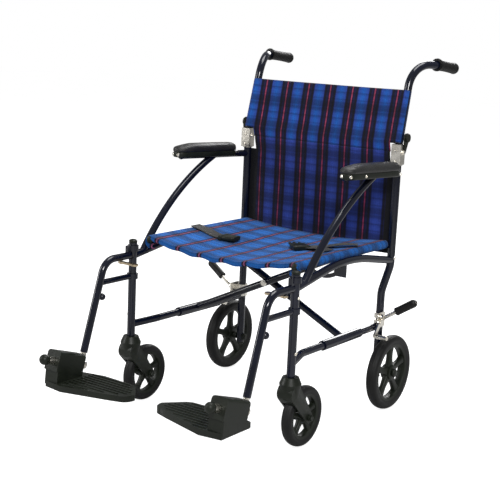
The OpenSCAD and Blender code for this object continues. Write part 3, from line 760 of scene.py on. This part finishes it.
def webbing_strip(path, width, lift):
    """A strap laid on the seat along path, given as (x, y, extra height), and its length."""
    bm = bmesh.new()
    layer = bm.loops.layers.uv.new("Cloth")
    rows, length, sides = [], 0.0, 8
    for index, (x, y, extra) in enumerate(path):
        before, after = path[max(index - 1, 0)], path[min(index + 1, len(path) - 1)]
        ahead = Vector(after[:2]) - Vector(before[:2])
        across = Vector((-ahead.y, ahead.x)).normalized() * width
        if index:
            length += (Vector(path[index][:2]) - Vector(path[index - 1][:2])).length
        row = []
        for step in range(sides + 1):
            share = step / sides - 0.5
            vert = bm.verts.new(on_seat(x + across.x * share, y + across.y * share, lift + extra))
            row.append((vert, (share * width, length)))
        rows.append(row)
    for near, far in zip(rows, rows[1:]):
        for step in range(sides):
            corners = (near[step], near[step + 1], far[step + 1], far[step])
            face = bm.faces.new([corner[0] for corner in corners])
            for loop, corner in zip(face.loops, corners):
                loop[layer].uv = corner[1]
    bmesh.ops.recalc_face_normals(bm, faces=bm.faces)
    return bm, length


def smooth_path(points, steps=8):
    """Points along a soft curve through the given ones."""
    path = []
    for index in range(len(points) - 1):
        before, start = Vector(points[max(index - 1, 0)]), Vector(points[index])
        end, after = Vector(points[index + 1]), Vector(points[min(index + 2, len(points) - 1)])
        for step in range(steps):
            t = step / steps
            square = (2 * before - 5 * start + 4 * end - after) * t * t
            cube = (3 * start - before - 3 * end + after) * t ** 3
            path.append(tuple(0.5 * (2 * start + (end - before) * t + square + cube)))
    return path + [tuple(points[-1])]


def build_belt(name, points, width, material):
    bm, length = webbing_strip(smooth_path(points), width, 0.0022)
    belt = piece(name, bm, material, None)
    thicken(belt, 0.0016, 1.0)
    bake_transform(belt)


# Each belt's width and path: across the chair, forward of the rear axle, extra height above the seat.
BELTS = {
    "right_belt_strap": (0.040, ((-0.228, 0.236, 0.003), (-0.19, 0.236, 0.002), (-0.15, 0.244, 0.0),
                                 (-0.112, 0.250, 0.003))),
    "left_belt_strap": (0.036, ((0.226, 0.130, 0.003), (0.19, 0.150, 0.006), (0.155, 0.176, 0.003),
                                (0.122, 0.200, 0.004))),
    "left_belt_tail": (0.030, ((0.205, 0.235, 0.002), (0.175, 0.226, 0.007), (0.148, 0.214, 0.005),
                               (0.118, 0.204, 0.004))),
}
BUCKLE_LIFT = 0.009


def build_belts(webbing, plastic):
    for name, (width, path) in BELTS.items():
        build_belt(name, [(x, AXLE.y - forward, extra) for x, forward, extra in path], width, webbing)
    for side, x, forward, angle in (("right", -0.095, 0.252, 6), ("left", 0.100, 0.212, 142)):
        turn = Matrix.Rotation(math.radians(angle), 3, "Z")
        spot = on_seat(x, AXLE.y - forward, BUCKLE_LIFT)
        bm = rounded_box((0.040, 0.042, 0.011), spot, turn, 0.0035)
        rounded_box((0.012, 0.046, 0.013), spot + turn @ Vector((-0.020, 0, 0)), turn, 0.003, into=bm)
        if side == "left":
            for offset in (-0.013, 0.013):
                prong = spot + turn @ Vector((0.030, offset, 0))
                rounded_box((0.030, 0.006, 0.006), prong, turn, 0.002, into=bm)
            rounded_box((0.034, 0.008, 0.005), spot + turn @ Vector((0.032, 0, 0)), turn, 0.002, into=bm)
        else:
            rounded_box((0.010, 0.036, 0.0125), spot + turn @ Vector((0.018, 0, 0)), turn, 0.003, into=bm)
        buckle = piece(side + "_buckle", bm, plastic, None, ["belt_" + side])
        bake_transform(buckle)


# ---- Wheels and footrests --------------------------------------------------------

# The wheels with a radius above this are the rear ones, and the others are the casters' wheels.
BIG_WHEEL = 0.09
SPOKES = 5


def build_tyre(side, sign, node, body, material):
    low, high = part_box("left_" + node)
    radius, half = (high.z - low.z) / 2, (high.x - low.x) / 2
    middle = (low + high) / 2
    depth = 0.024 if radius > BIG_WHEEL else 0.0195
    crown = half - 0.0005
    profile = [(radius - depth, -half * 0.82), (radius - depth * 0.62, -half),
               (radius - crown * 0.72, -half * 0.99)]
    for turn in range(-66, 67, 6):
        angle = math.radians(turn)
        groove = 0.0007 if abs(turn) in (18, 36) else 0
        profile.append((radius - crown * 0.62 * (1 - math.cos(angle)) - groove, crown * math.sin(angle)))
    profile += [(radius - crown * 0.72, half * 0.99), (radius - depth * 0.62, half),
                (radius - depth, half * 0.82), (radius - depth - 0.001, 0), (radius - depth, -half * 0.82)]
    bm = mirrored(lathe(profile, middle, (1, 0, 0), 96), sign)
    piece(side + "_" + node + "_tread", bm, material, side + body, [side + "_" + node])


def soft_corner(angle):
    """A circle's point pushed outwards to the shape of a rounded square."""
    return [math.copysign(abs(part) ** 0.6, part) for part in (math.cos(angle), math.sin(angle))]


def build_hub(side, sign, node, tyre_node, body, plastic):
    low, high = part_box("left_" + tyre_node)
    radius, half = (high.z - low.z) / 2, (high.x - low.x) / 2
    middle = (low + high) / 2
    big = radius > BIG_WHEEL
    rim = radius - (0.0235 if big else 0.0190)
    hub_r = 0.020 if big else 0.0145
    axle_r = 0.0062 if big else 0.0043
    bm = lathe([(rim - 0.007, -half * 0.72), (rim, -half * 0.86), (rim + 0.0004, 0), (rim, half * 0.86),
                (rim - 0.007, half * 0.72), (rim - 0.008, half * 0.55), (rim - 0.0085, 0),
                (rim - 0.008, -half * 0.55), (rim - 0.007, -half * 0.72)], middle, (1, 0, 0), 96)
    lathe([(axle_r, -half * 0.93), (hub_r * 0.86, -half * 0.93), (hub_r, -half * 0.84), (hub_r * 1.05, 0),
           (hub_r, half * 0.84), (hub_r * 0.86, half * 0.93), (axle_r, half * 0.93), (axle_r, -half * 0.93)],
          middle, (1, 0, 0), 48, bm)
    corners = [soft_corner(2 * math.pi * step / 20) for step in range(20)]
    for index in range(SPOKES):
        turn = Matrix.Rotation(2 * math.pi * index / SPOKES, 4, "X")
        rings = []
        for step in range(9):
            share = step / 8
            out = hub_r * 0.8 + (rim - 0.004 - hub_r * 0.8) * share
            wide = (0.0085 + 0.004 * (2 * share - 1) ** 2) * (1 if big else 0.78)
            thick = half * (0.62 - 0.14 * math.sin(math.pi * share))
            rings.append([(thick * x, wide * y, out) for x, y in corners])
        spoke = ring_stack(rings)
        bmesh.ops.transform(spoke, matrix=Matrix.Translation(middle) @ turn, verts=spoke.verts)
        join_into(bm, spoke)
    piece(side + "_" + node + "_spoked", mirrored(bm, sign), plastic, side + body,
          [side + "_" + node])


def build_axle_caps(side, sign, plastic):
    low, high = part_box("left_rear_axle")
    end = Vector((high.x, (low.y + high.y) / 2, (low.z + high.z) / 2))
    profile = [(0.0112, -0.0035), (0.0112, -0.0005), (0.0098, 0.0016), (0.0060, 0.0030), (0, 0.0034)]
    cap = lathe(profile, end, (1, 0, 0))
    piece(side + "_axle_cap", mirrored(cap, sign), plastic, side + "_frame")
    bm = bmesh.new()
    low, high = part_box("left_caster_axle")
    for x, out in ((high.x - 0.001, 1), (low.x + 0.001, -1)):
        hex_bolt((x, (low.y + high.y) / 2, (low.z + high.z) / 2), (out, 0, 0), 0.012, bm)
    piece(side + "_caster_bolt", mirrored(bm, sign), plastic, side + "_caster_fork")


LEG_RAKE = math.radians(17.4)
KNOB_REACH = 0.131
KNOB_R = 0.0132
DECK_RIBS = 9
RIB_STEP = 0.0135


def build_footplate_details(side, sign, plastic):
    foot = pivot("left_footplate_flip")
    deck = foot.z - 0.022
    bm = bmesh.new()
    outer = -0.030
    for index in range(DECK_RIBS):
        y = -0.098 + index * RIB_STEP
        if y < -0.045:
            inner = -0.060 - 0.128 * ease((y + 0.108) / 0.06)
        else:
            inner = -0.196 + 0.04 * ease((y + 0.03) / 0.045)
        place = (foot.x + (inner + outer) / 2, foot.y + y, deck + 0.0008)
        rounded_box((outer - inner, 0.0042, 0.0022), place, radius=0.0009, segments=2, into=bm)
    piece(side + "_deck_ribs", mirrored(bm, sign), plastic, side + "_footplate")
    ahead = Vector((0, -math.cos(LEG_RAKE), math.sin(LEG_RAKE)))
    ball = foot + ahead * KNOB_REACH
    profile = [(0.0066, -0.0118)]
    for turn in range(-62, 91, 8):
        angle = math.radians(turn)
        profile.append((KNOB_R * math.cos(angle), KNOB_R * math.sin(angle)))
    profile.append((0, KNOB_R))
    knob = mirrored(lathe(profile, ball, ahead, 36), sign)
    piece(side + "_peg_knob", knob, plastic, side + "_leg_extension")


BRAKE_ELBOW = Vector((0.0035, 0, -0.003))
BRAKE_REACH = Vector((0.092, 0.010, 0.060))
BRAKE_GRIP_R = 0.0109
SHOE_BAR_R = 0.005


def build_brake_grip(side, sign, material):
    along = BRAKE_REACH.normalized()
    start = pivot("left_brake") + BRAKE_ELBOW + BRAKE_REACH * 0.41
    length = BRAKE_REACH.length * 0.59
    sleeve = BRAKE_GRIP_R
    profile = [(0.0050, 0), (sleeve - 0.0006, 0), (sleeve + 0.0004, 0.001), (sleeve + 0.0004, 0.0035),
               (sleeve, 0.0045), (sleeve - 0.0002, length * 0.4), (sleeve, length - sleeve)]
    for turn in range(10, 91, 10):
        angle = math.radians(turn)
        profile.append((sleeve * math.cos(angle), length - sleeve + 0.0006 + sleeve * math.sin(angle)))
    grip = mirrored(lathe(profile, start, along, 36), sign)
    piece(side + "_brake_grip", grip, material, side + "_brake_lever")


def build_shoe_sleeve(side, sign, metal):
    """The pale sleeve on the brake's bar."""
    low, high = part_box("left_brake_shoe")
    start = Vector((low.x + 0.0075, low.y + SHOE_BAR_R, low.z + SHOE_BAR_R))
    length = high.x - start.x + 0.001
    profile = [(SHOE_BAR_R - 0.0002, 0), (0.0056, 0), (0.0061, 0.0008), (0.0061, length - 0.0008),
               (0.0055, length), (0.0034, length), (0.0030, length - 0.0006), (0, length - 0.0006)]
    sleeve = lathe(profile, start, (1, 0, 0))
    piece(side + "_shoe_sleeve", mirrored(sleeve, sign), metal, side + "_brake_shoe")


def tube_plug(place, along, tube_r, into):
    """A domed plug in the end of a tube of that radius."""
    profile = [(tube_r - 0.0006, -0.004), (tube_r + 0.0006, -0.0005), (tube_r + 0.0008, 0.0015),
               (tube_r - 0.001, 0.0038), (tube_r * 0.6, 0.0052), (0, 0.0056)]
    lathe(profile, place, along, 32, into)


def build_plugs_and_bolts(side, sign, plastic, metal):
    plugs = bmesh.new()
    for y, out in ((RAIL_LOW.y, -1), (RAIL_HIGH.y, 1)):
        tube_plug((RAIL_X, y, RAIL_Z), (0, out, 0), RAIL_R, plugs)
    member = "cross_b" if sign > 0 else "cross_a"
    piece(side + "_rail_plugs", mirrored(plugs, sign), plastic, member)

    plugs = bmesh.new()
    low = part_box("left_rear_post")[0]
    tube_plug((POST_X, AXLE.y + 0.001, low.z), (0, 0, -1), POST_R, plugs)
    low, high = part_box("left_front_post")
    tube_plug(((low.x + high.x) / 2, (low.y + high.y) / 2, high.z), (0, 0, 1), POST_R, plugs)
    piece(side + "_post_plugs", mirrored(plugs, sign), plastic, side + "_frame")

    bolts = bmesh.new()
    front = Vector(((low.x + high.x) / 2, (low.y + high.y) / 2, 0))
    for post, heights in ((front, (-0.064, -0.20)), (FOLD, (0.19, -0.035))):
        for height in heights:
            dome_screw((post.x + 0.0103, post.y, RAIL_Z + height), (1, 0, 0), SCREW_R, bolts)
    for height in (0.004, -0.024):
        dome_screw((FOLD.x, FOLD.y - 0.0134, FOLD.z + height), (0, -1, 0), SMALL_SCREW_R, bolts)
    hex_bolt((FOLD.x + 0.0141, FOLD.y, FOLD.z), (1, 0, 0), 0.010, bolts)
    piece(side + "_frame_screws", mirrored(bolts, sign), metal, side + "_frame")


# ---- Frame finishes -----------------------------------------------------------

def round_off(obj):
    """Joins a carried-over part's loose triangles so that its round faces shade smoothly."""
    for face in obj.data.polygons:
        face.use_smooth = True
    add_modifier(obj, "WELD", "Join triangles", merge_threshold=0.00002)
    add_modifier(obj, "EDGE_SPLIT", "Hard edges", split_angle=math.radians(28))


def finish_frame_parts(finishes):
    """Colours the parts carried over from the frame; the wheel axles are black like their caps."""
    slots = {row["node"]: row["material_slot"] for row in frame["record"]["subparts"]}
    for name, obj in frame["nodes"].items():
        obj.data.materials.clear()
        obj.data.materials.append(finishes["black_plastic" if name.endswith("axle") else slots[name]])
        round_off(obj)


FINISHES = {
    "frame_paint": frame_paint(),
    "zinc": bright_zinc("Bright zinc plate", (0.88, 0.85, 0.78), (0.72, 0.68, 0.60)),
    "black_plastic": moulded_plastic("Black moulded nylon", (0.011, 0.014, 0.009), (0.005, 0.007, 0.004)),
    "grip_rubber": soft_rubber("Black grip rubber", 0.006, 0.45),
    "arm_vinyl": pad_vinyl(),
    "tyre": soft_rubber("Black tyre rubber", 0.007, 0.5),
    "latch_metal": bright_zinc("Yellow zinc plate", (0.70, 0.58, 0.40), (0.52, 0.42, 0.28)),
    "plaid_fabric": plaid("Blue plaid back cloth", (0.008, 0.090, 0.40), (0.018, 0.050, 0.27),
                          (0.27, 0.035, 0.09), 0.225),
    "webbing": belt_webbing(),
}
# Same plaid as the upper back cloth. Its blue, deep blue and pink are painted darker here as shade on the lower
# back panel.
SHADED_LOWER_CLOTH = plaid("Shaded blue plaid lower back cloth", (0.020, 0.048, 0.28), (0.016, 0.034, 0.20),
                    (0.22, 0.025, 0.08), 0.23, 0.213)
# The narrower dark bands are the seat's own pattern. Its blues and pink are painted brighter than the back
# cloth's, as light falling from above on the seat.
LIT_SEAT_CLOTH = plaid("Lit blue plaid seat cloth", (0.003, 0.130, 0.50), (0.003, 0.100, 0.40),
                   (0.33, 0.08, 0.21), 0.07)
BLACK, ZINC = FINISHES["black_plastic"], FINISHES["zinc"]
GRIP, VINYL = FINISHES["grip_rubber"], FINISHES["arm_vinyl"]

make_camera()
make_studio()
finish_frame_parts(FINISHES)
build_upper_back(FINISHES["plaid_fabric"])
build_lower_back(SHADED_LOWER_CLOTH)
build_seat(LIT_SEAT_CLOTH)
build_belts(FINISHES["webbing"], BLACK)
for side_name, side_sign in SIDES:
    build_push_grip(side_name, side_sign, GRIP)
    build_arm_pad(side_name, side_sign, VINYL, BLACK, ZINC)
    build_tyre(side_name, side_sign, "rear_tyre", "_rear_wheel", FINISHES["tyre"])
    build_tyre(side_name, side_sign, "caster_tyre", "_caster_wheel", FINISHES["tyre"])
    build_hub(side_name, side_sign, "rear_hub", "rear_tyre", "_rear_wheel", BLACK)
    build_hub(side_name, side_sign, "caster_hub", "caster_tyre", "_caster_wheel", BLACK)
    build_axle_caps(side_name, side_sign, BLACK)
    build_footplate_details(side_name, side_sign, BLACK)
    build_brake_grip(side_name, side_sign, GRIP)
    build_shoe_sleeve(side_name, side_sign, ZINC)
    build_plugs_and_bolts(side_name, side_sign, BLACK, ZINC)
